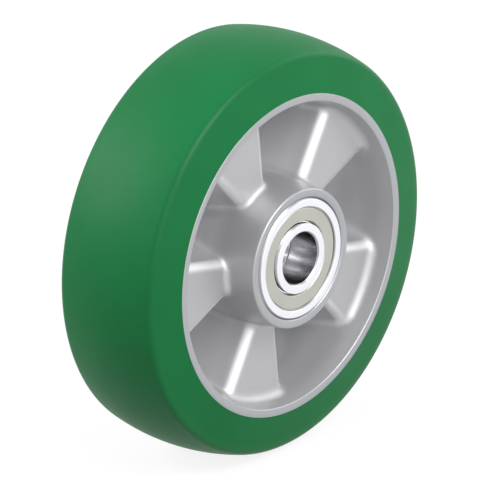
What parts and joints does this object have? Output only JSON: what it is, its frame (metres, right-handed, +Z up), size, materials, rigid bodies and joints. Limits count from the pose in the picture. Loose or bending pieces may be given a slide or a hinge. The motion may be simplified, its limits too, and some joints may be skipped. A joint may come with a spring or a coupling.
{
  "type": "industrial wheel",
  "caption": "Truck or castor wheel with a crowned green elastomer tread bonded to a cast aluminium centre, whose folded web joins rim and hub, on shielded ball bearings.",
  "frame": {"origin": "the wheel's centre: the middle of the axle bore's axis, halfway between the two faces", "axes": "+Y along the axle bore, +Z up, with the wheel upright as it runs. The front, which the picture shows, faces -Y"},
  "size_m": [0.16, 0.06, 0.16],
  "materials": {
    "tread_elastomer": "semi-matte moulded green elastomer",
    "cast_aluminium": "satin as-cast, machined on the rim's lips and the hub's ends",
    "bearing_steel": "ground",
    "shield_steel": "pressed sheet, dull khaki grey",
    "cage_steel": "pressed sheet",
    "ball_steel": "polished",
    "spacer_steel": "drawn tube, satin"
  },
  "bodies": {
    "fixed_rings": {"spacer_tube": "spacer_steel", "front_bearing_inner_ring": "bearing_steel", "rear_bearing_inner_ring": "bearing_steel"},
    "wheel": {"tread": "tread_elastomer", "wheel_centre": "cast_aluminium", "front_bearing_outer_ring": "bearing_steel", "front_bearing_outboard_shield": "shield_steel", "front_bearing_inboard_shield": "shield_steel", "rear_bearing_outer_ring": "bearing_steel", "rear_bearing_outboard_shield": "shield_steel", "rear_bearing_inboard_shield": "shield_steel"},
    "front_cage": {"front_cage_outboard_half": "cage_steel", "front_cage_inboard_half": "cage_steel", "front_cage_rivets": "cage_steel"},
    "front_ball_1": {"front_ball_1": "ball_steel"},
    "front_ball_2": {"front_ball_2": "ball_steel"},
    "front_ball_3": {"front_ball_3": "ball_steel"},
    "front_ball_4": {"front_ball_4": "ball_steel"},
    "front_ball_5": {"front_ball_5": "ball_steel"},
    "front_ball_6": {"front_ball_6": "ball_steel"},
    "front_ball_7": {"front_ball_7": "ball_steel"},
    "front_ball_8": {"front_ball_8": "ball_steel"},
    "rear_cage": {"rear_cage_outboard_half": "cage_steel", "rear_cage_inboard_half": "cage_steel", "rear_cage_rivets": "cage_steel"},
    "rear_ball_1": {"rear_ball_1": "ball_steel"},
    "rear_ball_2": {"rear_ball_2": "ball_steel"},
    "rear_ball_3": {"rear_ball_3": "ball_steel"},
    "rear_ball_4": {"rear_ball_4": "ball_steel"},
    "rear_ball_5": {"rear_ball_5": "ball_steel"},
    "rear_ball_6": {"rear_ball_6": "ball_steel"},
    "rear_ball_7": {"rear_ball_7": "ball_steel"},
    "rear_ball_8": {"rear_ball_8": "ball_steel"}
  },
  "joints": [
    {"name": "wheel_spin", "type": "hinge", "parent": "fixed_rings", "child": "wheel", "pos_m": [0, 0, 0], "axis": [0, 1, 0], "continuous": true},
    {"name": "front_cage_orbit", "type": "hinge", "parent": "fixed_rings", "child": "front_cage", "pos_m": [0, -0.023, 0], "axis": [0, 1, 0], "continuous": true},
    {"name": "front_ball_1_spin", "type": "hinge", "parent": "front_cage", "child": "front_ball_1", "pos_m": [0.01675, -0.023, 0], "axis": [0, 1, 0], "continuous": true},
    {"name": "front_ball_2_spin", "type": "hinge", "parent": "front_cage", "child": "front_ball_2", "pos_m": [0.01184, -0.023, 0.01184], "axis": [0, 1, 0], "continuous": true},
    {"name": "front_ball_3_spin", "type": "hinge", "parent": "front_cage", "child": "front_ball_3", "pos_m": [0, -0.023, 0.01675], "axis": [0, 1, 0], "continuous": true},
    {"name": "front_ball_4_spin", "type": "hinge", "parent": "front_cage", "child": "front_ball_4", "pos_m": [-0.01184, -0.023, 0.01184], "axis": [0, 1, 0], "continuous": true},
    {"name": "front_ball_5_spin", "type": "hinge", "parent": "front_cage", "child": "front_ball_5", "pos_m": [-0.01675, -0.023, 0], "axis": [0, 1, 0], "continuous": true},
    {"name": "front_ball_6_spin", "type": "hinge", "parent": "front_cage", "child": "front_ball_6", "pos_m": [-0.01184, -0.023, -0.01184], "axis": [0, 1, 0], "continuous": true},
    {"name": "front_ball_7_spin", "type": "hinge", "parent": "front_cage", "child": "front_ball_7", "pos_m": [0, -0.023, -0.01675], "axis": [0, 1, 0], "continuous": true},
    {"name": "front_ball_8_spin", "type": "hinge", "parent": "front_cage", "child": "front_ball_8", "pos_m": [0.01184, -0.023, -0.01184], "axis": [0, 1, 0], "continuous": true},
    {"name": "rear_cage_orbit", "type": "hinge", "parent": "fixed_rings", "child": "rear_cage", "pos_m": [0, 0.023, 0], "axis": [0, 1, 0], "continuous": true},
    {"name": "rear_ball_1_spin", "type": "hinge", "parent": "rear_cage", "child": "rear_ball_1", "pos_m": [0.01675, 0.023, 0], "axis": [0, 1, 0], "continuous": true},
    {"name": "rear_ball_2_spin", "type": "hinge", "parent": "rear_cage", "child": "rear_ball_2", "pos_m": [0.01184, 0.023, 0.01184], "axis": [0, 1, 0], "continuous": true},
    {"name": "rear_ball_3_spin", "type": "hinge", "parent": "rear_cage", "child": "rear_ball_3", "pos_m": [0, 0.023, 0.01675], "axis": [0, 1, 0], "continuous": true},
    {"name": "rear_ball_4_spin", "type": "hinge", "parent": "rear_cage", "child": "rear_ball_4", "pos_m": [-0.01184, 0.023, 0.01184], "axis": [0, 1, 0], "continuous": true},
    {"name": "rear_ball_5_spin", "type": "hinge", "parent": "rear_cage", "child": "rear_ball_5", "pos_m": [-0.01675, 0.023, 0], "axis": [0, 1, 0], "continuous": true},
    {"name": "rear_ball_6_spin", "type": "hinge", "parent": "rear_cage", "child": "rear_ball_6", "pos_m": [-0.01184, 0.023, -0.01184], "axis": [0, 1, 0], "continuous": true},
    {"name": "rear_ball_7_spin", "type": "hinge", "parent": "rear_cage", "child": "rear_ball_7", "pos_m": [0, 0.023, -0.01675], "axis": [0, 1, 0], "continuous": true},
    {"name": "rear_ball_8_spin", "type": "hinge", "parent": "rear_cage", "child": "rear_ball_8", "pos_m": [0.01184, 0.023, -0.01184], "axis": [0, 1, 0], "continuous": true}
  ],
  "couplings": [
    {"joint": "front_cage_orbit", "follows": "wheel_spin", "ratio": 0.61848},
    {"joint": "front_ball_1_spin", "follows": "wheel_spin", "ratio": 1.9916},
    {"joint": "front_ball_2_spin", "follows": "wheel_spin", "ratio": 1.9916},
    {"joint": "front_ball_3_spin", "follows": "wheel_spin", "ratio": 1.9916},
    {"joint": "front_ball_4_spin", "follows": "wheel_spin", "ratio": 1.9916},
    {"joint": "front_ball_5_spin", "follows": "wheel_spin", "ratio": 1.9916},
    {"joint": "front_ball_6_spin", "follows": "wheel_spin", "ratio": 1.9916},
    {"joint": "front_ball_7_spin", "follows": "wheel_spin", "ratio": 1.9916},
    {"joint": "front_ball_8_spin", "follows": "wheel_spin", "ratio": 1.9916},
    {"joint": "rear_cage_orbit", "follows": "wheel_spin", "ratio": 0.61848},
    {"joint": "rear_ball_1_spin", "follows": "wheel_spin", "ratio": 1.9916},
    {"joint": "rear_ball_2_spin", "follows": "wheel_spin", "ratio": 1.9916},
    {"joint": "rear_ball_3_spin", "follows": "wheel_spin", "ratio": 1.9916},
    {"joint": "rear_ball_4_spin", "follows": "wheel_spin", "ratio": 1.9916},
    {"joint": "rear_ball_5_spin", "follows": "wheel_spin", "ratio": 1.9916},
    {"joint": "rear_ball_6_spin", "follows": "wheel_spin", "ratio": 1.9916},
    {"joint": "rear_ball_7_spin", "follows": "wheel_spin", "ratio": 1.9916},
    {"joint": "rear_ball_8_spin", "follows": "wheel_spin", "ratio": 1.9916}
  ]
}
